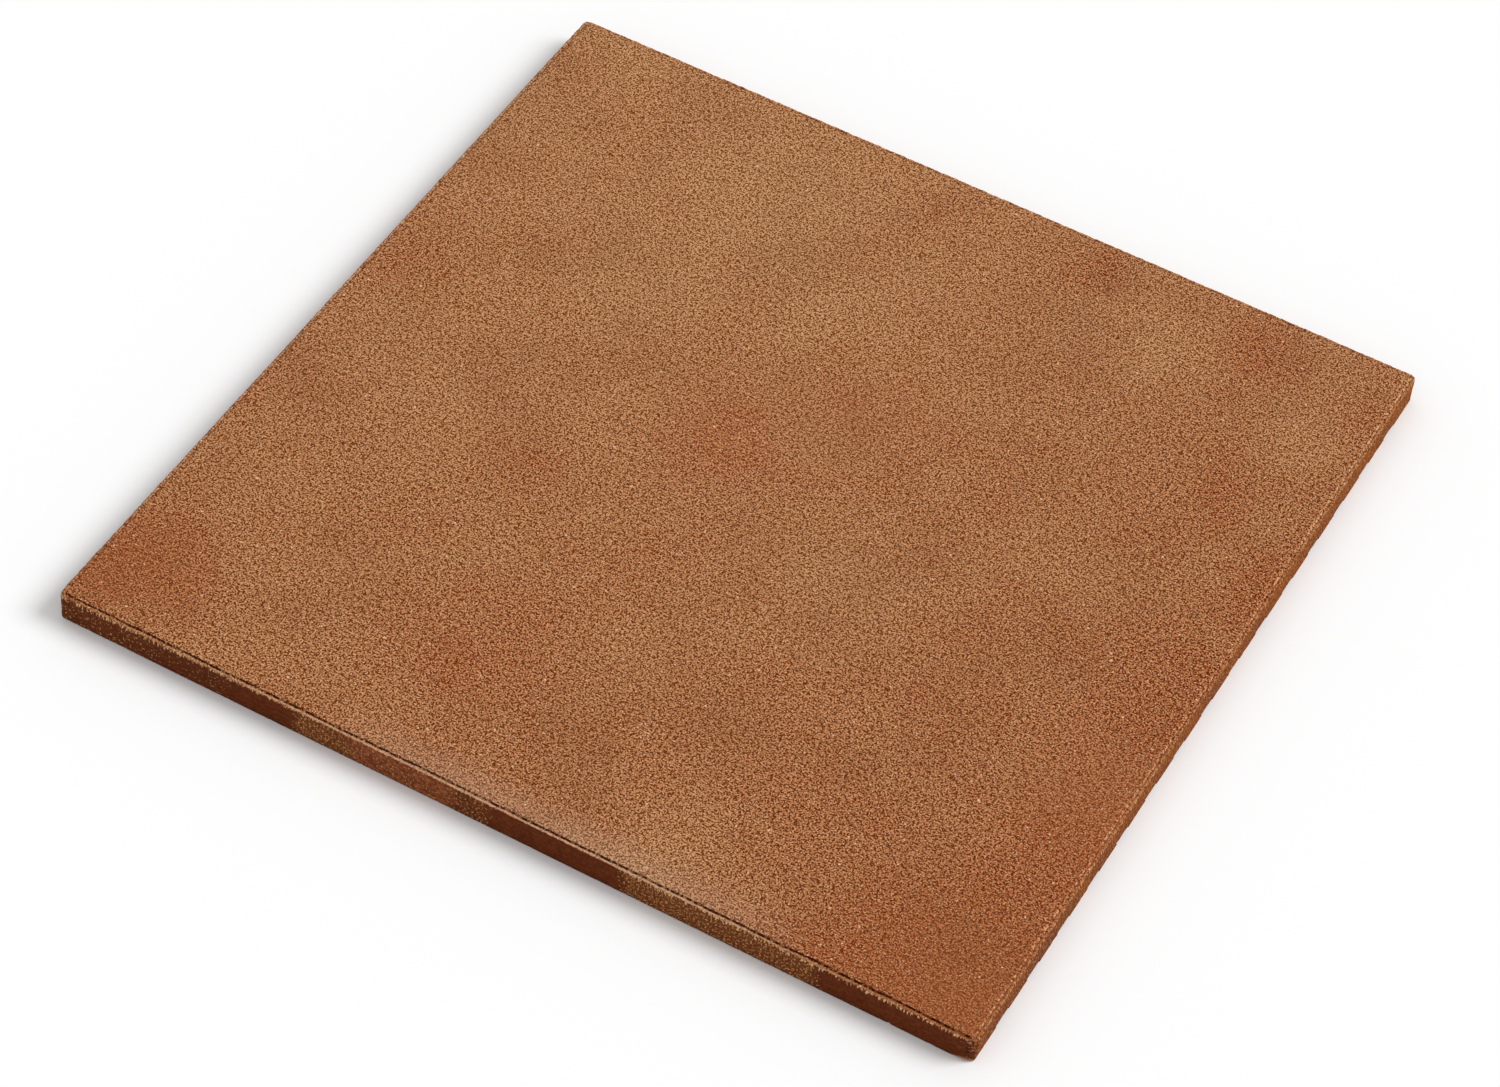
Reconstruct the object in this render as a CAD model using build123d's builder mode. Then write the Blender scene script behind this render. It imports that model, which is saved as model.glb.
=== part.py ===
from build123d import *
import os

# Square clinker floor tile, one fired slab of clay.
# The slab lies bed face down. X runs along the keying grooves of the bed face, Y runs across them and
# Z points up to the wear face. The origin is the centre of the bed face.

# Slab, in millimetres
side = 300.0
thickness = 10.0
corner_radius = 2.0
bed_arris_radius = 0.5

# Dovetailed keying grooves of the bed face, open at both ends of the slab
groove_count = 15
groove_pitch = 18.8
groove_root_width = 8.2
groove_depth = 1.4
groove_wall_angle = 104.0
groove_round = 0.4

# Pressed edge of the wear face: each width is measured in from the side face,
# and each drop is measured down from the wear face
arris_radius = 0.35
crest_drop = 0.2
crest_width = 0.65
valley_drop = 0.6
valley_width = 1.0
shoulder_width = 1.5
field_width = 1.9
pressed_rounds = [0.12, 0.12, 0.4]
cutter_reach = 1.0

# Chip off the lower front corner: its reach along the front side, the right side and the upright arris
chip_front = 5.7
chip_right = 1.4
chip_height = 1.9

half = side / 2

with BuildPart() as clinker_tile:
    # The slab, with rounded upright corners and a worn lower arris
    with BuildSketch() as plan:
        RectangleRounded(side, side, corner_radius)
    extrude(amount=thickness)
    fillet(clinker_tile.faces().sort_by(Axis.Z)[0].edges(), bed_arris_radius)

    # The keyed bed face: the grooved section that the die gives, drawn out along X
    with BuildSketch(Plane.YZ.offset(-half)) as die_section:
        with Locations((0, thickness / 2)):
            Rectangle(side, thickness)
        with GridLocations(groove_pitch, 0, groove_count, 1):
            Trapezoid(
                groove_root_width,
                groove_depth,
                groove_wall_angle,
                align=(Align.CENTER, Align.MIN),
                mode=Mode.SUBTRACT,
            )
        rib_corners = die_section.vertices().group_by(Axis.Y)[0].sort_by(Axis.X)[1:-1]
        root_corners = die_section.vertices().group_by(Axis.Y)[1]
        fillet(rib_corners + root_corners, groove_round)
    extrude(amount=side, mode=Mode.INTERSECT)

    # The pressed edge: a thin crest, a valley and a shoulder, carried round the outline of the wear face
    with BuildLine(Plane.XY.offset(thickness)) as outline:
        corners = [(half, -half), (half, half), (-half, half), (-half, -half)]
        FilletPolyline(*corners, radius=corner_radius, close=True)
    path = outline.wires()[0]
    along = path % 0
    inwards = Axis.Z.direction.cross(along)
    with BuildSketch(Plane(origin=path @ 0, x_dir=inwards, z_dir=along)) as pressed_section:
        with BuildLine():
            arris_start = (0, -crest_drop - arris_radius)
            arris_end = (arris_radius, -crest_drop)
            RadiusArc(arris_start, arris_end, arris_radius)
            pressed = FilletPolyline(
                arris_end,
                (crest_width, -crest_drop),
                (valley_width, -valley_drop),
                (shoulder_width, 0),
                (field_width, 0),
                radius=pressed_rounds,
            )
            Polyline(
                pressed @ 1,
                (field_width, cutter_reach),
                (-cutter_reach, cutter_reach),
                (-cutter_reach, -crest_drop - arris_radius),
                arris_start,
            )
        make_face()
    sweep(path=path, mode=Mode.SUBTRACT)

    # The chip off the lower front corner
    on_front = Vector(half - chip_front, -half, 0)
    on_right = Vector(half, -half + chip_right, 0)
    on_arris = Vector(half, -half, chip_height)
    break_normal = (on_right - on_front).cross(on_arris - on_front)
    split(bisect_by=Plane(origin=on_front, z_dir=break_normal), keep=Keep.BOTTOM)

clinker_tile.part.label = "clinker_tile"

os.makedirs("parts", exist_ok=True)
export_step(clinker_tile.part, "parts/clinker_tile.step")
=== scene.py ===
# %% [markdown]
# A clinker tile is a slab of clay that leaves a die as a ribbon, is cut and pressed to a square,
# sprayed with a sandy coat and fired hard. We rebuild one such tile in Blender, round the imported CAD
# model. We keep that box from the start, because the finished tile has to stay inside it.

# %% Load the frame
import math

import bpy
from mathutils import Matrix, Vector


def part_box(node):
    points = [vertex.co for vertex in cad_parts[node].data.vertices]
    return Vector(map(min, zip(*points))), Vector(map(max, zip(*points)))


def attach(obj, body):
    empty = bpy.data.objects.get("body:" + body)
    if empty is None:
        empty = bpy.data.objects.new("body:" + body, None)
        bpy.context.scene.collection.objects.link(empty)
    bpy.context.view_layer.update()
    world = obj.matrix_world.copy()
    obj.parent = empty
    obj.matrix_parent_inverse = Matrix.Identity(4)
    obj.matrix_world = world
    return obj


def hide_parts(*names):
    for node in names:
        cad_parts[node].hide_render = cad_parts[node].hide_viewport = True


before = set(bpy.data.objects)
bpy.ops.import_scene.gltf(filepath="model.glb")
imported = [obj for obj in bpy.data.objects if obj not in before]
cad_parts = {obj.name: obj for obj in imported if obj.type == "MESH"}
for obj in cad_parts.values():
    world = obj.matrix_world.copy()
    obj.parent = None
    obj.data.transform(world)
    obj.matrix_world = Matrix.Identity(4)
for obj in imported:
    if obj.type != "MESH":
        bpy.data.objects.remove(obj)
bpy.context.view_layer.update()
low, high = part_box("clinker_tile")
bpy.ops.object.select_all(action="DESELECT")

MM = 0.001
side = high.x - low.x
thickness = high.z - low.z
half = side / 2
print(f"tile {side / MM:.1f} mm square and {thickness / MM:.1f} mm thick")

# %% [markdown]
# All the modelling below happens in edit mode, on chosen vertices, edges or faces. An operator acts on
# whatever is selected, so a few small helpers open a piece and select what passes a test. The test is
# given the middle of each vertex, edge or face in millimetres and the way that it faces or runs, which
# keeps the later cells readable.


# %% Helpers to open a piece and to select parts of it
# How much of its direction has to lie along an axis for a face or an edge to count as pointing that way
straight_on = 0.9


def open_mesh(piece, mode="VERT"):
    if bpy.context.object and bpy.context.object.mode == "EDIT":
        bpy.ops.object.mode_set(mode="OBJECT")
    bpy.ops.object.select_all(action="DESELECT")
    piece.select_set(True)
    bpy.context.view_layer.objects.active = piece
    bpy.context.tool_settings.mesh_select_mode = [mode == kind for kind in ("VERT", "EDGE", "FACE")]
    bpy.ops.object.mode_set(mode="EDIT")


def close_mesh():
    bpy.ops.object.mode_set(mode="OBJECT")


def placed(mesh, kind):
    """Gives each item, its middle in millimetres and its normal, or the way that an edge runs."""
    if kind == "VERT":
        for vertex in mesh.vertices:
            yield vertex, vertex.co / MM, vertex.normal
    elif kind == "FACE":
        for face in mesh.polygons:
            yield face, face.center / MM, face.normal
    else:
        for edge in mesh.edges:
            start, end = (mesh.vertices[i].co for i in edge.vertices)
            yield edge, (start + end) / (2 * MM), (end - start).normalized()


def select(piece, kind, test):
    """Selects what passes the test, opens the piece in edit mode and returns how many items passed."""
    close_mesh()
    mesh = piece.data
    for items in (mesh.vertices, mesh.edges, mesh.polygons):
        items.foreach_set("select", [False] * len(items))
    found = [item for item, place, facing in placed(mesh, kind) if test(place, facing)]
    for item in found:
        item.select = True
    open_mesh(piece, kind)
    return len(found)


# %% [markdown]
# The edge of the wear face is not a plain corner. The press leaves a rounded shoulder, a fine valley
# outside it and a thin crest of squeezed-out clay along the side face. That section is the same all the
# way round, so we draw it once, as a chain of extruded vertices, and carry it round the tile. It could
# be cut in with insets, but then the four upright corners would stay sharp, and a fired tile's corners
# are a little round.

# %% Draw the section of the edge
corner_radius = 2.0 * MM
crest_drop = 0.2 * MM
crest_width = 0.65 * MM
valley_drop = 0.6 * MM
valley_width = 1.0 * MM
shoulder_width = 1.5 * MM

bpy.ops.mesh.primitive_plane_add(size=MM, location=(0, 0, 0))
tile = bpy.context.object
tile.name = "fired_clinker_tile"
open_mesh(tile)
bpy.ops.mesh.select_all(action="SELECT")
bpy.ops.mesh.merge(type="CENTER")
section_start = (corner_radius - half, corner_radius - half, thickness)
bpy.ops.transform.translate(value=section_start)

section = [
    (corner_radius, 0.0),
    (shoulder_width, 0.0),
    (valley_width, valley_drop),
    (crest_width, crest_drop),
    (0.0, crest_drop),
    (0.0, thickness),
    (corner_radius, thickness),
]
for (inwards, drop), (next_inwards, next_drop) in zip(section, section[1:]):
    step = (0, next_inwards - inwards, drop - next_drop)
    bpy.ops.mesh.extrude_region_move(TRANSFORM_OT_translate={"value": step})
print("section of", len(section), "corners")

# %% [markdown]
# Clay has no knife edges, so each corner of the section gets a small round. A bevel can act on vertices
# as well as on edges, and on a chain of edges it turns one corner into a short arc. The upright part is
# cut into short lengths too, because a surface can only be made uneven where it has vertices.

# %% Round the corners of the section
# Each corner of the section: how far in it lies, its drop, the width of its round and the round's steps
rounded_corners = [
    (shoulder_width, 0.0, 0.18 * MM, 3),
    (valley_width, valley_drop, 0.12 * MM, 2),
    (crest_width, crest_drop, 0.08 * MM, 2),
    (0.0, crest_drop, 0.35 * MM, 4),
    (0.0, thickness, 0.5 * MM, 3),
]

# Both in millimetres
close_enough = 0.01
near_middle = 1.0

for inwards, drop, width, segments in rounded_corners:
    corner = Vector((corner_radius - half, inwards - half, thickness - drop)) / MM
    select(tile, "VERT", lambda place, facing: (place - corner).length < close_enough)
    bpy.ops.mesh.bevel(offset=width, segments=segments, affect="VERTICES")

upright_cuts = 8
select(tile, "EDGE", lambda place, run: abs(place.z - thickness / MM / 2) < near_middle)
bpy.ops.mesh.subdivide(number_cuts=upright_cuts)
print("section rounded to", len(tile.data.vertices), "vertices")

# %% [markdown]
# The section now travels round the tile: a row of even steps along each side, then a quarter turn at
# each upright corner. The corner's centre lies where the section starts, so the inner end of the
# section just turns on the spot and the ring keeps a square opening. Run with no window, spin turns
# against its sign, so the angle is negative.

# %% Carry the section round the tile
steps_a_side = 60
corner_steps = 4
straight = side - 2 * corner_radius
corner_centre = half - corner_radius
step = straight / steps_a_side

bpy.ops.mesh.select_all(action="SELECT")
for (way_x, way_y), (corner_x, corner_y) in [
    ((1, 0), (1, -1)),
    ((0, 1), (1, 1)),
    ((-1, 0), (-1, 1)),
    ((0, -1), (-1, -1)),
]:
    bpy.ops.mesh.extrude_repeat(steps=steps_a_side, offset=(way_x * step, way_y * step, 0))
    bpy.ops.mesh.spin(
        steps=corner_steps,
        angle=math.radians(-90),
        center=(corner_x * corner_centre, corner_y * corner_centre, 0),
        axis=(0, 0, 1),
    )

# %% [markdown]
# Two square grids with the same steps close the ring: one is the wear face, the other the bed face.
# Their outer vertices fall on those of the ring, so merging doubles sews all three together, and only
# then are the normals turned outwards.

# %% Close the ring with the wear face and the bed face
sewing_distance = 0.004 * MM
for height in (thickness, 0.0):
    bpy.ops.mesh.primitive_grid_add(
        x_subdivisions=steps_a_side, y_subdivisions=steps_a_side, size=straight, location=(0, 0, height)
    )
bpy.ops.mesh.select_all(action="SELECT")
bpy.ops.mesh.remove_doubles(threshold=sewing_distance)
bpy.ops.mesh.normals_make_consistent(inside=False)
bpy.ops.mesh.select_all(action="DESELECT")
bpy.ops.mesh.select_non_manifold()
close_mesh()
print("slab of", len(tile.data.polygons), "faces, open edges:", sum(e.select for e in tile.data.edges))

# %% [markdown]
# The bed face is keyed: dovetailed grooves run along X, wider at their root than at their mouth, so
# that the adhesive grips the tile. They are hidden in the photo, but tiles of this kind have them. One
# cutter is shaped from a cube, repeated with an array, and taken away from the slab with a boolean. The
# grooves could be extruded into the bed face instead, but they have to break out through two sides,
# which a boolean settles by itself.

# %% Shape one groove cutter
groove_count = 15
groove_pitch = 18.8 * MM
groove_root = 8.2 * MM
groove_mouth = 7.5 * MM
groove_depth = 1.4 * MM
groove_round = 0.35 * MM
overshoot = 1.0 * MM
groove_lengths = 40

first_groove = -groove_pitch * (groove_count - 1) / 2
bpy.ops.mesh.primitive_cube_add(
    size=1,
    location=(0, first_groove, (groove_depth - overshoot) / 2),
    scale=(side + 2 * overshoot, groove_mouth, groove_depth + overshoot),
)
cutter = bpy.context.object
cutter.name = "groove_cutter"
bpy.ops.object.transform_apply(location=True, rotation=False, scale=True)

open_mesh(cutter)
bpy.ops.mesh.select_all(action="SELECT")
bpy.ops.mesh.bisect(plane_co=(0, 0, groove_round), plane_no=(0, 0, 1))
select(cutter, "FACE", lambda place, facing: facing.z > straight_on)
bpy.ops.transform.resize(value=(1, groove_root / groove_mouth, 1))
select(cutter, "FACE", lambda place, facing: facing.z < -straight_on)
flare = groove_mouth + 2 * groove_round * (1 + overshoot / groove_round)
bpy.ops.transform.resize(value=(1, flare / groove_mouth, 1))

# %% Round the cutter and repeat it
select(cutter, "EDGE", lambda place, run: abs(run.x) > straight_on and place.z > 0)
bpy.ops.mesh.bevel(offset=groove_round, segments=3)
select(cutter, "EDGE", lambda place, run: abs(run.x) > straight_on)
bpy.ops.mesh.subdivide(number_cuts=groove_lengths - 1)
close_mesh()
print("one cutter has", len(cutter.data.polygons), "faces")

grooves = cutter.modifiers.new("grooves", "ARRAY")
grooves.count = groove_count
grooves.use_relative_offset = False
grooves.use_constant_offset = True
grooves.constant_offset_displace = (0, groove_pitch, 0)
bpy.ops.object.modifier_apply(modifier="grooves")

# %% Cut the grooves
bpy.ops.object.select_all(action="DESELECT")
tile.select_set(True)
bpy.context.view_layer.objects.active = tile
keying = tile.modifiers.new("keying", "BOOLEAN")
keying.operation = "DIFFERENCE"
keying.solver = "MANIFOLD"
keying.object = cutter
bpy.ops.object.modifier_apply(modifier="keying")
bpy.data.objects.remove(cutter)
print("keyed slab has", len(tile.data.polygons), "faces")

# %% [markdown]
# The slab's edges need vertices close together before they can be made uneven. Every edge that runs
# along the outline of the tile is cut into nine, so a side gets one vertex about each half millimetre,
# while the middle of the two large faces stays coarse. Cutting only those edges keeps the piece light,
# which subdividing whole faces would not.

# %% Cut the edge of the tile finely
rim_width = corner_radius / MM
half_mm = half / MM
fine_cuts = 8
exactly_along = 0.99


def from_outline(place):
    """The distance in millimetres from the nearest of the four side planes."""
    return half_mm - max(abs(place.x), abs(place.y))


def runs_along_outline(place, run):
    if from_outline(place) > rim_width + close_enough:
        return False
    along = abs(run.x) if abs(place.y) > abs(place.x) else abs(run.y)
    return along > exactly_along


select(tile, "VERT", lambda place, facing: True)
bpy.ops.mesh.remove_doubles(threshold=sewing_distance)
fine_edges = select(tile, "EDGE", runs_along_outline)
bpy.ops.mesh.subdivide(number_cuts=fine_cuts, ngon=False)
close_mesh()
print(fine_edges, "edges cut; the slab has", len(tile.data.polygons), "faces")

# %% [markdown]
# Fired clay is never quite even. Edges wander by a few tenths of a millimetre where the cutting wire
# and the press ran, and crumbs and pits sit on that. Cloud textures drive displace modifiers, each held
# to its own part of the tile by a vertex group. Every move goes into the clay, never out of it, so the
# tile stays inside its CAD box. The vertices could be nudged by hand with proportional editing, but a
# texture is even all round and easy to tune.


# %% Helpers for uneven clay
def clay_noise(name, size, low_end=0.3, high_end=0.7):
    """Clouds about size wide: all values under low_end become 0 and all above high_end become 1."""
    noise = bpy.data.textures.new(name, "CLOUDS")
    noise.noise_basis = "IMPROVED_PERLIN"
    noise.noise_scale = size
    noise.noise_depth = 1
    noise.use_color_ramp = True
    for end, position, brightness in zip(noise.color_ramp.elements, (low_end, high_end), (0, 1)):
        end.position = position
        end.color = (brightness, brightness, brightness, 1)
    return noise


def make_uneven(piece, noise, way, strength, weight=None):
    """Moves vertices by up to strength the given way, each by its weight from 0 to 1."""
    open_mesh(piece)
    close_mesh()
    modifier = piece.modifiers.new(noise.name, "DISPLACE")
    modifier.texture = noise
    modifier.texture_coords = "LOCAL"
    modifier.direction = way
    modifier.strength = strength
    modifier.mid_level = 0
    if weight:
        group = piece.vertex_groups.new(name=noise.name)
        for vertex, place, facing in placed(piece.data, "VERT"):
            amount = weight(place, facing)
            if amount > 0:
                group.add([vertex.index], min(amount, 1), "REPLACE")
        modifier.vertex_group = group.name
    before = [vertex.co.copy() for vertex in piece.data.vertices]
    bpy.ops.object.modifier_apply(modifier=modifier.name)
    piece.vertex_groups.clear()
    moves = [(vertex.co - old).length / MM for vertex, old in zip(piece.data.vertices, before)]
    moved = [move for move in moves if move > 0]
    mean_move = sum(moved) / len(moved)
    print(f"{noise.name}: {len(moved)} vertices moved, most {max(moved):.2f} mm, mean {mean_move:.2f} mm")


def fade(value, full, gone):
    """1 on the far side of full, 0 on the far side of gone, and even in between."""
    return min(max((gone - value) / (gone - full), 0), 1)


# %% [markdown]
# The cutting wire left the four sides a little wavy. Each side is moved inwards as a whole, with its
# crest, valley and shoulder, and the move fades out a few millimetres into the wear face.

# %% Make the four sides wavy
long_wave_height = 0.12 * MM
short_wave_height = 0.08 * MM

# Distance in from the side, in millimetres, where the waves are full and where they are gone
wavy_band = (1.6, 6.0)

long_waves = clay_noise("long_waves", 34 * MM, 0.5, 0.8)
short_waves = clay_noise("short_waves", 6 * MM, 0.5, 0.8)
inward_of_side = {
    "front": ("Y", 1, lambda place: half_mm + place.y),
    "back": ("Y", -1, lambda place: half_mm - place.y),
    "left": ("X", 1, lambda place: half_mm + place.x),
    "right": ("X", -1, lambda place: half_mm - place.x),
}
for way, sign, inwards_from in inward_of_side.values():
    near_side = lambda place, facing: fade(inwards_from(place), *wavy_band)
    make_uneven(tile, long_waves, way, sign * long_wave_height, near_side)
    make_uneven(tile, short_waves, way, sign * short_wave_height, near_side)

# %% [markdown]
# The pressed line wanders too, apart from the side: the shoulder runs now nearer to the edge, now
# further from it. The crest outside it is squeezed-out clay, so it is crumbly, with a ragged top and a
# nibbled outer arris.

# %% Let the pressed line wander and crumble the crest
top_mm = thickness / MM
wander_width = 0.22 * MM
ripple_width = 0.12 * MM
crumb_depth = 0.22 * MM
nibble_depth = 0.16 * MM

# Distances in from the side, in millimetres: where an unevenness is full and where it is gone
shoulder_outside = (1.2, 0.7)
shoulder_inside = (1.6, 4.0)
crest_band = (0.75, 1.2)
arris_band = (0.5, 0.7)

# Depths below the wear face, in millimetres, that each unevenness goes down to
shoulder_depth = 1.0
crest_depth = 0.9
arris_depth = 1.2

line_wander = clay_noise("line_wander", 16 * MM)
line_ripple = clay_noise("line_ripple", 2.2 * MM)
crest_crumbs = clay_noise("crest_crumbs", 1.7 * MM, 0.35, 0.75)
arris_crumbs = clay_noise("arris_crumbs", 1.1 * MM, 0.4, 0.75)


def on_shoulder(inwards):
    return fade(inwards, *shoulder_outside) * fade(inwards, *shoulder_inside)


def at_crest(place, facing):
    return fade(from_outline(place), *crest_band) * (place.z > top_mm - crest_depth)


def at_upper_arris(place, facing):
    return fade(from_outline(place), *arris_band) * (place.z > top_mm - arris_depth)


for way, sign, inwards_from in inward_of_side.values():
    shoulder = lambda place, facing: on_shoulder(inwards_from(place)) * (place.z > top_mm - shoulder_depth)
    make_uneven(tile, line_wander, way, sign * wander_width, shoulder)
    make_uneven(tile, line_ripple, way, sign * ripple_width, shoulder)

make_uneven(tile, crest_crumbs, "Z", -crumb_depth, at_crest)
make_uneven(tile, arris_crumbs, "NORMAL", -nibble_depth, at_upper_arris)

# %% [markdown]
# What is left is the sides' own relief, small nicks along the arrises that touch the bed, and the faint
# hollows of the wear face, which only show where the light grazes them.

# %% Roughen the sides, the lower arris and the wear face
relief_depth = 0.12 * MM
nick_depth = 0.4 * MM
hollow_depth = 0.15 * MM

# Again in millimetres: distances in from the side, heights over the bed, and depth below the wear face
side_band = (0.4, 0.6)
nick_band = (0.7, 1.4)
nick_heights = (0.6, 1.6)
relief_from = 0.5
pressed_depth = 1.0

side_relief = clay_noise("side_relief", 4.5 * MM, 0.5, 0.8)
bed_nicks = clay_noise("bed_nicks", 3.0 * MM, 0.66, 0.8)
face_hollows = clay_noise("face_hollows", 42 * MM)


def on_a_side(place, facing):
    return fade(from_outline(place), *side_band) * (relief_from < place.z < top_mm - pressed_depth)


def at_lower_arris(place, facing):
    return fade(from_outline(place), *nick_band) * fade(place.z, *nick_heights)


def on_wear_face(place, facing):
    return place.z > top_mm - pressed_depth


make_uneven(tile, side_relief, "NORMAL", -relief_depth, on_a_side)
make_uneven(tile, bed_nicks, "NORMAL", -nick_depth, at_lower_arris)
make_uneven(tile, face_hollows, "Z", -hollow_depth, on_wear_face)

# %% [markdown]
# A small piece is broken off the lower corner nearest the camera. A block with one rough face stands
# where the clay broke away, and a boolean takes it off the tile, so the break is as rough as the block.
# Bisecting the corner would be quicker, but it leaves a flat facet, and broken clay isn't flat.

# %% Shape the block that the chip is broken with
chip_front = 5.7 * MM
chip_right = 1.4 * MM
chip_height = 1.9 * MM
block_size = 9 * MM
block_cuts = 19
break_roughness = 0.45 * MM

on_front = Vector((half - chip_front, -half, 0))
on_right = Vector((half, -half + chip_right, 0))
on_arris = Vector((half, -half, chip_height))
break_way = (on_right - on_front).cross(on_arris - on_front).normalized()
break_middle = (on_front + on_right + on_arris) / 3

bpy.ops.mesh.primitive_cube_add(
    size=block_size,
    location=break_middle + break_way * block_size / 2,
    rotation=break_way.to_track_quat("Z", "Y").to_euler(),
)
breaker = bpy.context.object
breaker.name = "corner_breaker"
bpy.ops.object.transform_apply(location=True, rotation=True, scale=True)
open_mesh(breaker)
bpy.ops.mesh.select_all(action="SELECT")
bpy.ops.mesh.subdivide(number_cuts=block_cuts)
close_mesh()
break_relief = clay_noise("break_relief", 1.6 * MM)
make_uneven(breaker, break_relief, "NORMAL", break_roughness)

# %% Break the chip off
smooth_below = math.radians(38)

open_mesh(tile)
close_mesh()
chip = tile.modifiers.new("chip", "BOOLEAN")
chip.operation = "DIFFERENCE"
chip.solver = "MANIFOLD"
chip.object = breaker
bpy.ops.object.modifier_apply(modifier="chip")
bpy.data.objects.remove(breaker)
bpy.ops.object.shade_smooth_by_angle(angle=smooth_below)
triangles = sum(len(face.vertices) - 2 for face in tile.data.polygons)
print("finished tile has", triangles, "triangles")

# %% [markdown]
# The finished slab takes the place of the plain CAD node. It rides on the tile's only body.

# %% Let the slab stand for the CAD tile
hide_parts("clinker_tile")
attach(tile, "root")

# %% [markdown]
# The material is built from nodes. Its patterns read Object coordinates, because the tile's object sits
# at the origin, so a pattern stays on the clay wherever the tile is carried. The first mapping turns
# metres into millimetres, and then every size below can be written as it would be measured on the tile.
# Small helpers keep the node code short: one adds any node, and the others add what is used most, which
# is a sum, a noise, a soft step, a stretch, a layer of colour, and a colour as a paint chart gives it.
# An image would be quicker to put on, but it would blur close up, and nodes stay sharp at any distance.

# %% Start the clay material and its node helpers
clay = bpy.data.materials.new("fired_clay")
clay.use_nodes = True
clay.node_tree.nodes.clear()


def add_node(kind, inputs, **settings):
    node = clay.node_tree.nodes.new(kind)
    for name, value in settings.items():
        setattr(node, name, value)
    for socket, value in inputs.items():
        if isinstance(value, bpy.types.NodeSocket):
            clay.node_tree.links.new(value, node.inputs[socket])
        else:
            node.inputs[socket].default_value = value
    return node


def work_out(operation, *values):
    return add_node("ShaderNodeMath", dict(enumerate(values)), operation=operation).outputs[0]


def noise(place, size, detail=2.0, roughness=0.5):
    """Soft noise from 0 to 1, its lumps about size millimetres apart."""
    inputs = {"Vector": place, "Scale": 1 / size, "Detail": detail, "Roughness": roughness}
    return add_node("ShaderNodeTexNoise", inputs).outputs["Fac"]


def soft_step(value, start, end):
    """0 at start and 1 at end, with a smooth rise between them; start may be the larger."""
    inputs = {"Value": value, "From Min": start, "From Max": end}
    return add_node("ShaderNodeMapRange", inputs, interpolation_type="SMOOTHSTEP").outputs["Result"]


def stretched(place, x=1.0, y=1.0, z=1.0):
    """The same places with each axis pulled out, so that a noise on them turns into streaks."""
    inputs = {"Vector": place, "Scale": (1 / x, 1 / y, 1 / z)}
    return add_node("ShaderNodeMapping", inputs).outputs["Vector"]


def painted(share, under, over):
    """Lays the colour over on the colour under, as thickly as share says."""
    inputs = {0: share, 6: under, 7: over}
    return add_node("ShaderNodeMix", inputs, data_type="RGBA").outputs[2]


def colour(red, green, blue):
    """A colour written in the 0 to 255 of a paint chart, as the light value that a shader wants."""
    shares = [value / 255 for value in (red, green, blue)]
    light = [s / 12.92 if s <= 0.04045 else ((s + 0.055) / 1.055) ** 2.4 for s in shares]
    return (*light, 1.0)


# %% Places on the tile, in millimetres
coordinates = add_node("ShaderNodeTexCoord", {})
on_tile = stretched(coordinates.outputs["Object"], MM, MM, MM)
along_x, along_y, up_z = add_node("ShaderNodeSeparateXYZ", {"Vector": on_tile}).outputs
below_top = work_out("SUBTRACT", top_mm, up_z)
into_tile = work_out(
    "MINIMUM",
    work_out("SUBTRACT", half_mm, work_out("ABSOLUTE", along_x)),
    work_out("SUBTRACT", half_mm, work_out("ABSOLUTE", along_y)),
)
facing = coordinates.outputs["Normal"]
facing_x, facing_y = add_node("ShaderNodeSeparateXYZ", {"Vector": facing}).outputs[:2]
print("places and directions take", len(clay.node_tree.nodes), "nodes")

# %% [markdown]
# The wear face carries a sprayed coat that fired to a sandy tan, redder where the flame reached it.
# Seen from further off it is clouded: soft patches of tan lie towards the far left and of red-brown
# towards the near right corner. Some patches are warmer in tone, and in a few calm ones the grain
# hardly shows. A noise alone would put them anywhere, so they are placed one by one, as they lie on the
# tile, and a slow noise only pushes their outlines about, so that none of them is a disc.

# %% Cloud the coat with tan and red patches
# Each patch: its middle along x and y, its reach in millimetres, and its strength, below 0 for red-brown
patches = [
    (-55, 109, 46, 0.45),
    (-68, 55, 32, 0.3),
    (-10, 82, 40, 0.25),
    (42, -26, 34, 0.25),
    (100, 22, 26, 0.25),
    (45, -150, 36, 0.45),
    (75, 118, 24, 0.35),
    (127, 104, 22, 0.25),
    (-18, 10, 30, -0.15),
    (-62, -31, 18, -0.22),
    (-140, -128, 42, -0.5),
    (-36, -108, 46, -0.18),
    (150, -150, 72, -1.0),
    (150, -88, 46, -0.4),
    (150, -15, 40, -0.4),
    (150, 42, 32, -0.4),
    (117, 68, 16, -0.3),
    (-8, 134, 18, -0.35),
    (47, 138, 18, -0.45),
    (107, 132, 18, -0.35),
    (-145, 25, 34, -0.3),
    (-145, -40, 40, -0.2),
]
warm_patches = [
    (-18, 12, 38, 1.0),
    (14, 42, 36, 1.0),
    (-80, -28, 20, 0.5),
    (-40, -105, 34, 0.25),
    (107, 130, 26, 0.2),
    (150, -60, 50, 0.8),
]
calm_patches = [
    (150, -150, 80, 0.5),
    (150, -60, 45, 0.25),
    (-138, -128, 34, 0.3),
]

# %% Push the outlines of the patches about
push_size = 26
push_reach = 34
noise_middle = (0.5, 0.5, 0.5)

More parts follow.
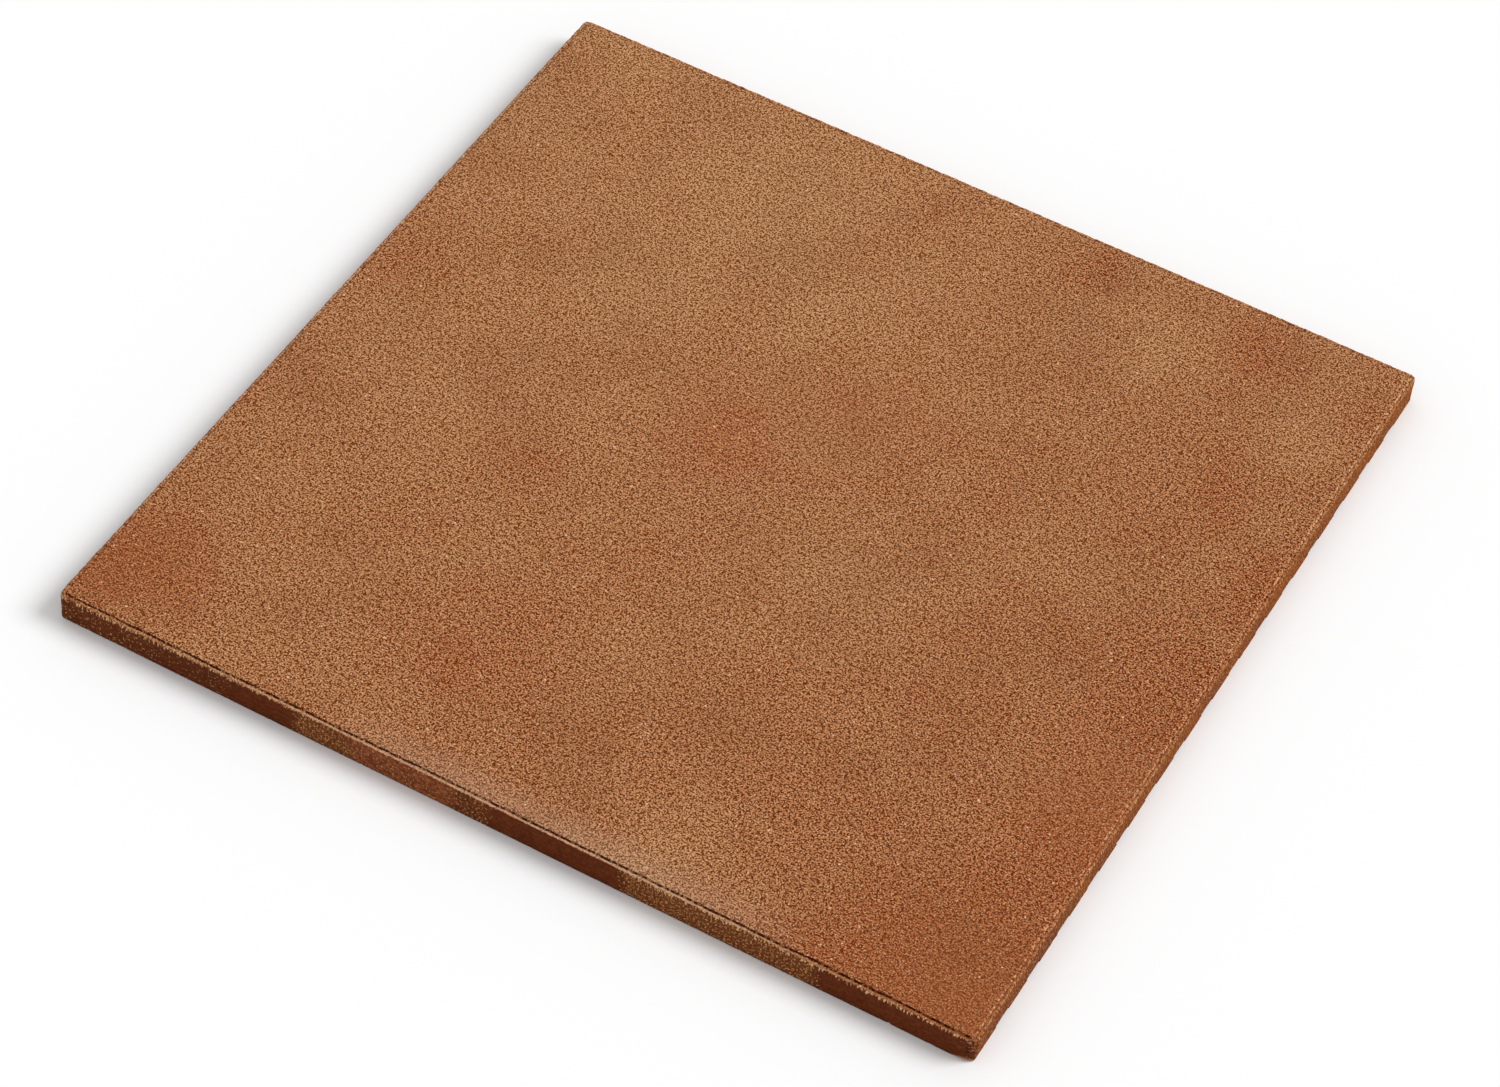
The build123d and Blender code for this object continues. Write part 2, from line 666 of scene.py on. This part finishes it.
wander_inputs = {"Vector": on_tile, "Scale": 1 / push_size, "Detail": 3.0}
wander = add_node("ShaderNodeTexNoise", wander_inputs).outputs["Color"]
pushed = add_node("ShaderNodeVectorMath", {0: wander, 1: noise_middle}, operation="SUBTRACT")
push_inputs = {0: pushed.outputs["Vector"], 1: (push_reach, push_reach, 0), 2: on_tile}
patch_place = add_node("ShaderNodeVectorMath", push_inputs, operation="MULTIPLY_ADD").outputs["Vector"]


def with_patches(share, places):
    """Adds each patch to share: it is strongest at x, y and gone at its reach, in millimetres."""
    for patch_x, patch_y, reach, strength in places:
        apart = add_node(
            "ShaderNodeVectorMath", {0: patch_place, 1: (patch_x, patch_y, top_mm)}, operation="DISTANCE"
        ).outputs["Value"]
        share = work_out("MULTIPLY_ADD", soft_step(apart, reach, 0), strength, share)
    return share


# The share of tan in the middle of the tile, and what each millimetre to the right or to the back adds
tan_level = 0.22
tan_to_the_right = -0.001
tan_to_the_back = 0.0007
cloud_size = 22
cloud_strength = 0.6

towards_right = work_out("MULTIPLY_ADD", along_x, tan_to_the_right, tan_level)
towards_back = work_out("MULTIPLY_ADD", along_y, tan_to_the_back, towards_right)
clouds = noise(on_tile, cloud_size, 3.0, 0.45)
tan_share = work_out("MULTIPLY_ADD", clouds, cloud_strength, towards_back)
tan_share = soft_step(with_patches(tan_share, patches), -0.05, 1.06)
warm_share = with_patches(0.0, warm_patches)
calm_share = with_patches(0.0, calm_patches)
print(len(patches), "tan and red patches,", len(warm_patches), "warm ones,", len(calm_patches), "calm ones")

# %% [markdown]
# Up close the coat is a fine grain of lighter and darker lumps, a millimetre or two apart, with a few
# pale grains and dark gaps among them. A flat cut through a solid noise is most even where it follows
# the noise's own lattice, as it does at height 0, and between two layers of the lattice it has slow
# swells. So the grain reads a height that is 0 all over the wear face and only changes below the
# pressed edge. Each layer of grain is moved along by whole lumps, which gives it other lumps and keeps
# the cut on the lattice. The ends of the soft steps and the share of each layer were set by comparing
# renders with the photo.

# %% Grain of the coat
rim_depth = 1.0
lumps_along_x = 230
lumps_along_y = 370
fine_share = 0.78
coarse_share = 0.22

under_rim = work_out("MINIMUM", work_out("ADD", work_out("SUBTRACT", up_z, top_mm), rim_depth), 0.0)
in_grain = add_node("ShaderNodeCombineXYZ", {"X": along_x, "Y": along_y, "Z": under_rim}).outputs["Vector"]


def grain_noise(number, size, detail=0.0, roughness=0.5):
    """Noise for fine grain: each number gives other grains, by a move of whole lumps along X and Y."""
    moved = (lumps_along_x * number * size, lumps_along_y * number * size, 0)
    inputs = {"Vector": in_grain, "Location": moved}
    return noise(add_node("ShaderNodeMapping", inputs).outputs["Vector"], size, detail, roughness)


fine_lumps = grain_noise(1, 0.58, 1.0, 0.5)
coarse_lumps = grain_noise(2, 1.25)
fine_part = work_out("MULTIPLY", fine_lumps, fine_share)
grain_lumps = work_out("MULTIPLY_ADD", coarse_lumps, coarse_share, fine_part)
grain = soft_step(grain_lumps, 0.422, 0.58)
coat_dark = painted(tan_share, colour(92, 27, 0), colour(111, 57, 4))
coat_light = painted(tan_share, colour(187, 115, 69), colour(207, 153, 107))
coat_colour = painted(grain, coat_dark, coat_light)
pale_grains = soft_step(grain_noise(3, 0.5), 0.62, 0.7)
coat_colour = painted(work_out("MULTIPLY", pale_grains, 0.8), coat_colour, colour(226, 184, 140))
dark_gaps = soft_step(grain_noise(4, 0.5), 0.37, 0.29)
coat_colour = painted(work_out("MULTIPLY", dark_gaps, 0.7), coat_colour, colour(84, 32, 0))
print("coat with its grain takes", len(clay.node_tree.nodes), "nodes so far")

# %% Warmth, smoke, dust, grit and pits on the coat
dust_from_front = (-136, -147)
dust_middle = 18
dust_to_each_side = (85, 40)

coat_colour = painted(work_out("MULTIPLY", warm_share, 0.12), coat_colour, colour(174, 88, 56))
coat_colour = painted(calm_share, coat_colour, colour(148, 83, 46))
smoked = soft_step(noise(on_tile, 34, 3.0, 0.55), 0.45, 0.75)
coat_colour = painted(work_out("MULTIPLY", smoked, 0.16), coat_colour, colour(110, 66, 34))

from_dust_middle = work_out("ABSOLUTE", work_out("SUBTRACT", along_x, dust_middle))
dusty_stretch = soft_step(from_dust_middle, *dust_to_each_side)
edge_dust = work_out("MULTIPLY", soft_step(along_y, *dust_from_front), dusty_stretch)
coat_colour = painted(work_out("MULTIPLY", edge_dust, 0.14), coat_colour, colour(190, 160, 138))

pale_grit = soft_step(grain_noise(5, 1.25), 0.79, 0.85)
dark_pits = soft_step(grain_noise(6, 1.5), 0.21, 0.17)
coat_colour = painted(pale_grit, coat_colour, colour(226, 184, 148))
coat_colour = painted(dark_pits, coat_colour, colour(96, 50, 26))

# %% [markdown]
# Under the coat the clay is a dark red-brown, and it shows on the sides. It isn't one flat brown:
# handling scuffed it, it is faintly mottled, and one short stretch of the front side is scrubbed paler.
# These are thin layers of colour over the bare clay, because a single noise between two browns looks
# like paint.

# %% Bare clay of the sides
bare_shade = noise(on_tile, 14, 3.0, 0.55)
bare_clay = painted(bare_shade, colour(80, 31, 9), colour(104, 45, 16))
scuffed = soft_step(noise(stretched(on_tile, 3, 3, 1), 0.8, 2.0), 0.45, 0.7)
bare_clay = painted(work_out("MULTIPLY", scuffed, 0.2), bare_clay, colour(140, 78, 38))
mottled = soft_step(grain_noise(11, 0.9, 2.0), 0.42, 0.62)
bare_clay = painted(work_out("MULTIPLY", mottled, 0.16), bare_clay, colour(150, 84, 42))
scrubbed_middle = -33
scrubbed_to_each_side = (20, 15)
from_scrubbed = work_out("ABSOLUTE", work_out("SUBTRACT", along_x, scrubbed_middle))
scrubbed = soft_step(from_scrubbed, *scrubbed_to_each_side)
scrubbed = work_out("MULTIPLY", scrubbed, work_out("MULTIPLY_ADD", mottled, 0.6, 0.3))
bare_clay = painted(scrubbed, bare_clay, colour(158, 88, 52))
print("bare clay brings it to", len(clay.node_tree.nodes), "nodes")

# %% [markdown]
# Spray drifted down over the sides too, in stretches: some are smooth bare clay, others are speckled
# with coat. Where the crest was sprayed, short runs of coat hang down the side. On the front side the
# stretches show, so two colour ramps, laid along that side from its left corner, hold how much coat
# drifted there and how far it ran. The other sides are left to a noise.

# %% How much coat drifted onto each stretch of the front side
# Each stop: its distance from the left corner in millimetres, and the share of coat there
drift_along_front = [
    (0, 0.41),
    (33, 0.38),
    (38, 0.28),
    (58, 0.30),
    (64, 0.12),
    (79, 0.16),
    (83, 0.60),
    (99, 0.56),
    (102, 0.36),
    (134, 0.36),
    (138, 0.48),
    (145, 0.45),
    (148, 0.06),
    (186, 0.06),
    (191, 0.56),
    (203, 0.58),
    (248, 0.58),
    (256, 0.10),
    (259, 0.02),
    (293, 0.04),
    (300, 0.45),
]

# The same for the runs that hang from the crest
runs_along_front = [
    (0, 0.5),
    (60, 0.45),
    (100, 0.32),
    (106, 0.12),
    (130, 0.12),
    (138, 0.3),
    (147, 0.3),
    (151, 0.0),
    (184, 0.0),
    (189, 0.3),
    (205, 0.65),
    (270, 0.65),
    (300, 0.4),
]

# The ends of the stretches wander by up to half of this to each side, in millimetres
end_wander = 8.0
stretch_start = work_out("ADD", along_x, half_mm - end_wander / 2)
from_left_corner = work_out("MULTIPLY_ADD", noise(on_tile, 6, 2.0), end_wander, stretch_start)


def share_along_front(shares):
    ramp = add_node("ShaderNodeValToRGB", {"Fac": work_out("DIVIDE", from_left_corner, side / MM)})
    stops = ramp.color_ramp.elements
    while len(stops) < len(shares):
        stops.new(0.5)
    for stop, (distance, share) in zip(stops, shares):
        stop.position = distance * MM / side
        stop.color = (share, share, share, 1)
    return ramp.outputs["Color"]


drift = share_along_front(drift_along_front)
run_ramp = share_along_front(runs_along_front)
print(len(drift_along_front), "stops for the drifted coat and", len(runs_along_front), "for its runs")

# %% How much coat drifted onto the other sides
# The share of coat just under the wear face, and what each millimetre down or to the back adds
drift_level = 0.44
drift_to_the_bed = -0.01
drift_to_the_back = 0.0004
drift_cloud_strength = 0.34


def by_side(other, front):
    """One number on the front side and another on the three other sides."""
    inputs = {0: on_front_side, 2: other, 3: front}
    return add_node("ShaderNodeMix", inputs, data_type="FLOAT").outputs[0]


on_front_side = soft_step(facing_y, -0.6, -0.8)
lower_down = work_out("MULTIPLY_ADD", below_top, drift_to_the_bed, drift_level)
lower_down = work_out("MULTIPLY_ADD", along_y, drift_to_the_back, lower_down)
other_sides = work_out("MULTIPLY_ADD", noise(on_tile, 22, 3.0, 0.6), drift_cloud_strength, lower_down)
drifted = by_side(other_sides, drift)
speckle = grain_noise(7, 0.5, 2.0, 0.6)
dusted = soft_step(work_out("ADD", drifted, speckle), 0.94, 1.15)

# %% Colours of the drifted coat and of the fringe under the crest
fine_dust = grain_noise(8, 0.75, 2.0)
pale_fringe = soft_step(fine_dust, 0.42, 0.56)
front_fringe = painted(pale_fringe, colour(112, 60, 26), colour(236, 186, 134))
other_fringe = painted(pale_fringe, colour(112, 60, 24), colour(206, 146, 92))
fringe = painted(on_front_side, other_fringe, front_fringe)
pale_dust = soft_step(fine_dust, 0.5, 0.62)
front_dust = painted(pale_dust, colour(120, 66, 30), colour(208, 148, 94))
other_dust = painted(pale_dust, colour(124, 63, 21), colour(200, 127, 60))
dust = painted(on_front_side, other_dust, front_dust)
side_grit = soft_step(grain_noise(9, 0.75), 0.66, 0.72)
side_grit = work_out("MULTIPLY", side_grit, soft_step(drifted, 0.15, 0.45))
bare_clay = painted(work_out("MULTIPLY", side_grit, 0.8), bare_clay, colour(210, 162, 112))
print("drifted coat brings it to", len(clay.node_tree.nodes), "nodes")

# %% [markdown]
# The coat ends under the crest in a ragged fringe, with runs that reach further down. A run is as long
# as a streaky noise says, and coat lies wherever the run is longer than the way down from the top, so
# one comparison gives both the fringe and the runs. Where a stretch had hardly any spray, the arris
# itself stays bare.

# %% How far the coat ran over the arris
run_streak = 7
shortest_run = 0.8
raggedness = 3.0
bare_arris_pull = -3.0

run_zone = by_side(noise(on_tile, 30, 1.0), run_ramp)
runs = noise(stretched(on_tile, 1, 1, run_streak), 0.5, 3.0, 0.55)
run_reach = work_out("MULTIPLY_ADD", soft_step(run_zone, 0.3, 0.6), 1.5, 0.4)
run_length = work_out("MULTIPLY_ADD", soft_step(runs, 0.35, 0.75), run_reach, shortest_run)
over_arris = work_out("MULTIPLY_ADD", soft_step(into_tile, 0.7, 0.0), 0.5, below_top)
run_edge = work_out("SUBTRACT", run_length, over_arris)
ragged = work_out("MULTIPLY", soft_step(below_top, 0.4, 1.4), raggedness)
ragged = work_out("MULTIPLY", work_out("SUBTRACT", fine_dust, 0.5), ragged)
run_edge = work_out("ADD", run_edge, ragged)
bare_arris = work_out("MULTIPLY", soft_step(into_tile, 0.55, 0.3), soft_step(run_zone, 0.22, 0.05))
run_edge = work_out("MULTIPLY_ADD", bare_arris, bare_arris_pull, run_edge)
sprayed = soft_step(run_edge, -0.15, 0.2)
on_side = soft_step(into_tile, 0.5, 0.2)

# %% [markdown]
# The wall of the valley that faces away from the back is painted nearly black, as painted shade in the
# valley. The crest outside it is pale along the front, partly dust and partly a painted highlight. The
# sides have no such shadow, so both are held to their own distance from the side.

# %% Painted shade in the valley of the pressed line, and the pale crest
crest_from_front = (-146, -148)
crest_to_each_side = (135, 50)

# Valley walls that face away from this way get painted shade
valley_light_way = Vector((0.15, 0.75, 0.65)).normalized()
towards_valley_light = add_node(
    "ShaderNodeVectorMath", {0: facing, 1: valley_light_way}, operation="DOT_PRODUCT"
).outputs["Value"]
valley_shade = work_out("MULTIPLY", soft_step(towards_valley_light, 0.25, 0.05), soft_step(into_tile, 0.75, 0.9))
valley_shade = work_out("MULTIPLY", valley_shade, soft_step(below_top, 0.06, 0.2))
line_breaks = soft_step(grain_noise(12, 1.0), 0.36, 0.52)
valley_shade = work_out("MULTIPLY", valley_shade, work_out("MULTIPLY_ADD", line_breaks, 0.6, 0.4))
on_crest = work_out("MULTIPLY", soft_step(into_tile, 1.0, 0.85), soft_step(below_top, 0.75, 0.5))
on_crest = work_out("MULTIPLY", on_crest, soft_step(into_tile, 0.2, 0.45))
front_middle = soft_step(work_out("ABSOLUTE", along_x), *crest_to_each_side)
near_front = work_out("MULTIPLY", soft_step(along_y, *crest_from_front), front_middle)
dusty_crest = work_out("MULTIPLY_ADD", soft_step(fine_dust, 0.4, 0.6), 0.8, 0.3)
# Pale crest along the front: partly dust, partly a painted highlight on its slope that faces the lamp
crest_dust_and_highlight = work_out("MULTIPLY", on_crest, work_out("MULTIPLY_ADD", near_front, 0.7, 0.1))
crest_dust_and_highlight = work_out("MULTIPLY", crest_dust_and_highlight, dusty_crest)
print("fringe and pressed line bring it to", len(clay.node_tree.nodes), "nodes")

# %% [markdown]
# The bed face never got any coat. It shows the bare clay, a little paler than on the sides, with faint
# drag lines along the grooves from the die, pale specks, dark pits, and kiln dust in the roots of the
# grooves. Strong streaks would be simpler, but they look like wood. The break at the corner shows the
# clay's inside, lighter and coarser than its skin.

# %% Bed face
low_down = soft_step(up_z, 2.4, 1.8)
on_bed = work_out("MULTIPLY", low_down, soft_step(into_tile, 0.6, 1.0))
drag_lines = noise(stretched(on_tile, 60, 1, 1), 0.9, 3.0, 0.6)
bed_clay = painted(drag_lines, colour(118, 62, 38), colour(140, 82, 54))
cloudy_bed = soft_step(noise(on_tile, 46, 3.0, 0.55), 0.35, 0.65)
bed_clay = painted(work_out("MULTIPLY", cloudy_bed, 0.4), bed_clay, colour(146, 96, 66))
bed_specks = soft_step(grain_noise(13, 1.2, 3.0, 0.6), 0.56, 0.68)
bed_clay = painted(work_out("MULTIPLY", bed_specks, 0.5), bed_clay, colour(184, 136, 102))
bed_pits = soft_step(grain_noise(14, 1.0, 3.0, 0.6), 0.4, 0.3)
bed_clay = painted(work_out("MULTIPLY", bed_pits, 0.5), bed_clay, colour(76, 36, 20))
in_root = soft_step(up_z, 0.9, 1.25)
kiln_dust = soft_step(noise(on_tile, 6, 4.0, 0.7), 0.42, 0.7)
kiln_dust = work_out("MULTIPLY", kiln_dust, work_out("MULTIPLY_ADD", in_root, 0.5, 0.05))
bed_clay = painted(kiln_dust, bed_clay, colour(190, 152, 122))

# %% Break at the corner
from_break = add_node("ShaderNodeVectorMath", {0: on_tile, 1: on_front / MM}, operation="SUBTRACT")
break_depth = add_node(
    "ShaderNodeVectorMath", {0: from_break.outputs["Vector"], 1: break_way}, operation="DOT_PRODUCT"
).outputs["Value"]
on_chip = soft_step(break_depth, -0.55, -0.45)
broken_clay = painted(noise(on_tile, 0.6, 3.0, 0.6), colour(128, 74, 46), colour(176, 116, 82))
print("bed face and break bring it to", len(clay.node_tree.nodes), "nodes")

# %% [markdown]
# The layers are laid on in the order in which they came about: bare clay first, coat over it, then the
# bed face, and the break last. The shoulder on the right, which faces the lamp, gets a painted highlight,
# and close to the near corner the clay has dark nicks.

# %% Lay the layers on each other
nicks_within = (3.5, 2.0)

# Dust and painted highlight on the crest along the front
coat_colour = painted(crest_dust_and_highlight, coat_colour, colour(204, 164, 132))
# Painted highlight: shoulder slopes on the right that face the lamp are painted pale
shoulder_highlight = work_out("MULTIPLY", soft_step(facing_x, 0.35, 0.6), soft_step(into_tile, 0.75, 0.95))
shoulder_highlight = work_out("MULTIPLY", shoulder_highlight, soft_step(below_top, 0.15, 0.3))
shoulder_highlight = work_out("MULTIPLY", shoulder_highlight, soft_step(grain_noise(10, 1.0, 2.0), 0.5, 0.6))
coat_colour = painted(work_out("MULTIPLY", shoulder_highlight, 0.7), coat_colour, colour(228, 178, 132))
on_fringe = work_out("MULTIPLY", on_side, soft_step(below_top, 0.3, 0.6))
surface = painted(dusted, bare_clay, dust)
surface = painted(sprayed, surface, painted(on_fringe, coat_colour, fringe))
# Painted shade: the valley wall that faces away from the back is painted nearly black
surface = painted(work_out("MULTIPLY", valley_shade, 0.95), surface, colour(42, 13, 1))
from_right = work_out("SUBTRACT", half_mm, along_x)
from_front = work_out("ADD", half_mm, along_y)
near_corner = soft_step(work_out("ADD", from_right, from_front), *nicks_within)
nicked = work_out("MULTIPLY", near_corner, soft_step(noise(on_tile, 1.1, 2.0), 0.5, 0.6))
surface = painted(work_out("MULTIPLY", nicked, 0.8), surface, colour(62, 20, 4))
surface = painted(on_bed, surface, bed_clay)
surface = painted(on_chip, surface, broken_clay)

# %% [markdown]
# The grain that colours the coat also raises it, so light catches the same lumps that are pale, and the
# skin of the clay gets a finer relief. Both are far too fine to model, and a bump is enough for them.
# Fired clay has no glaze here, so it is rough all over, a little smoother where its bare skin shows.

# %% Relief and gloss
relief_height = 0.1 * MM
grain_relief = 0.8
skin_relief = 0.25
bare_roughness = 0.66
added_by_coat = 0.22

skin = work_out("MULTIPLY", noise(on_tile, 0.5, 2.0, 0.6), skin_relief)
coat_share = work_out("MAXIMUM", sprayed, dusted)
relief = work_out("MULTIPLY_ADD", work_out("MULTIPLY", grain_lumps, coat_share), grain_relief, skin)
raised = add_node("ShaderNodeBump", {"Height": relief, "Strength": 1.0, "Distance": relief_height})
roughness = work_out("MULTIPLY_ADD", coat_share, added_by_coat, bare_roughness)
finish = {
    "Base Color": surface,
    "Roughness": roughness,
    "Normal": raised.outputs["Normal"],
    "Specular IOR Level": 0.05,
}
shader = add_node("ShaderNodeBsdfPrincipled", finish)
add_node("ShaderNodeOutputMaterial", {"Surface": shader.outputs["BSDF"]})
tile.data.materials.clear()
tile.data.materials.append(clay)
print("clay material of", len(clay.node_tree.nodes), "nodes")

# %% [markdown]
# The studio's floor is plain and pale. To the camera, and to glossy and clear things, it is a plain
# white sheet that keeps the tile's shadow, and to everything else it is a pale grey that throws light
# back up on the sides. The Light Path node tells the two apart. A brighter lamp would whiten the floor
# too, but it would also bleach the tile.

# %% Floor
floor_size = 8
paper_grey = (0.72, 0.72, 0.72, 1)
paper_white = (1, 1, 1, 1)

bpy.ops.mesh.primitive_plane_add(size=floor_size, location=(0, 0, 0))
floor = bpy.context.object
floor.name = "studio_floor"
paper = bpy.data.materials.new("studio_paper")
paper.use_nodes = True
paper_nodes, paper_links = paper.node_tree.nodes, paper.node_tree.links
paper_nodes.clear()
paper_shader = paper_nodes.new("ShaderNodeBsdfDiffuse")
ray = paper_nodes.new("ShaderNodeLightPath")
seen = paper_nodes.new("ShaderNodeMath")
seen.operation = "MAXIMUM"
seen_directly = paper_nodes.new("ShaderNodeMath")
seen_directly.operation = "MAXIMUM"
paper_links.new(ray.outputs["Is Camera Ray"], seen_directly.inputs[0])
paper_links.new(ray.outputs["Is Glossy Ray"], seen_directly.inputs[1])
paper_links.new(seen_directly.outputs[0], seen.inputs[0])
paper_links.new(ray.outputs["Is Transmission Ray"], seen.inputs[1])
paper_colour = paper_nodes.new("ShaderNodeMix")
paper_colour.data_type = "RGBA"
paper_colour.inputs[6].default_value = paper_grey
paper_colour.inputs[7].default_value = paper_white
paper_links.new(seen.outputs[0], paper_colour.inputs[0])
paper_links.new(paper_colour.outputs[2], paper_shader.inputs["Color"])
paper_output = paper_nodes.new("ShaderNodeOutputMaterial")
paper_links.new(paper_shader.outputs[0], paper_output.inputs["Surface"])
floor.data.materials.append(paper)
print(f"floor {floor_size} m wide")

# %% [markdown]
# The light is an even white sky with one broad lamp from the right, a little behind the tile, which
# gives the soft shading of the sides. Sky and lamp together give a level face a light of one, so a
# colour on the wear face renders as it was written. One lamp alone would leave the front side black.

# %% Sky and lamp
sky_level = 0.6
world = bpy.data.worlds.new("studio_sky")
bpy.context.scene.world = world
world.use_nodes = True
sky_nodes, sky_links = world.node_tree.nodes, world.node_tree.links
sky_nodes.clear()
sky_ray = sky_nodes.new("ShaderNodeLightPath")
sky_strength = sky_nodes.new("ShaderNodeMix")
sky_strength.data_type = "FLOAT"
sky_strength.inputs[2].default_value = sky_level
sky_strength.inputs[3].default_value = 1.0
sky_links.new(sky_ray.outputs["Is Camera Ray"], sky_strength.inputs[0])
sky_light = sky_nodes.new("ShaderNodeBackground")
sky_light.inputs["Color"].default_value = (1, 1, 1, 1)
sky_links.new(sky_strength.outputs[0], sky_light.inputs["Strength"])
sky_output = sky_nodes.new("ShaderNodeOutputWorld")
sky_links.new(sky_light.outputs[0], sky_output.inputs["Surface"])

lamp_height = math.radians(42)
lamp_spread = math.radians(32)
lamp_from = Vector((0.85, 0.45, 0)).normalized()
lamp_side = lamp_from * math.cos(lamp_height)
lamp_way = Vector((lamp_side.x, lamp_side.y, math.sin(lamp_height)))
lamp_turn = lamp_way.to_track_quat("Z", "Y").to_euler()
bpy.ops.object.light_add(type="SUN", location=lamp_way, rotation=lamp_turn)
lamp = bpy.context.object
lamp.name = "broad_lamp"
lamp.data.energy = (1 - sky_level) * math.pi / math.sin(lamp_height)
lamp.data.angle = lamp_spread
print(f"sky {sky_level:.2f} and lamp {lamp.data.energy:.2f}")

# %% [markdown]
# The camera looks down on the tile from in front and from the right, so that the near corner is the
# front right one. Its place was worked out from the four corners of the wear face: a square of the
# tile's size, seen from this direction and distance, lands on them to within a pixel. The camera was
# held a little askew, so it is rolled. Its lens is worked out from the width of the picture in pixels.

# %% Camera
camera_azimuth = math.radians(24.934)
camera_elevation = math.radians(47.672)
camera_roll = math.radians(5.832)
camera_distance = 4.54953 * side
camera_right = -0.01181 * side
camera_up = -0.06272 * side
focal_pixels = 4554.8
picture_width = 1500
sensor_width = 36

camera_data = bpy.data.cameras.new("photo_camera")
camera_data.sensor_width = sensor_width
camera_data.lens = focal_pixels * sensor_width / picture_width
camera = bpy.data.objects.new("photo_camera", camera_data)
bpy.context.collection.objects.link(camera)
turned = (
    Matrix.Rotation(camera_azimuth, 4, "Z")
    @ Matrix.Rotation(math.radians(90) - camera_elevation, 4, "X")
    @ Matrix.Rotation(camera_roll, 4, "Z")
)
stood_off = Matrix.Translation((camera_right, camera_up, camera_distance))
camera.matrix_world = Matrix.Translation((0, 0, thickness)) @ turned @ stood_off
bpy.context.scene.camera = camera
bpy.context.scene.view_settings.view_transform = "Standard"
print(f"lens {camera_data.lens:.1f} mm, {camera_distance:.3f} m from the tile")
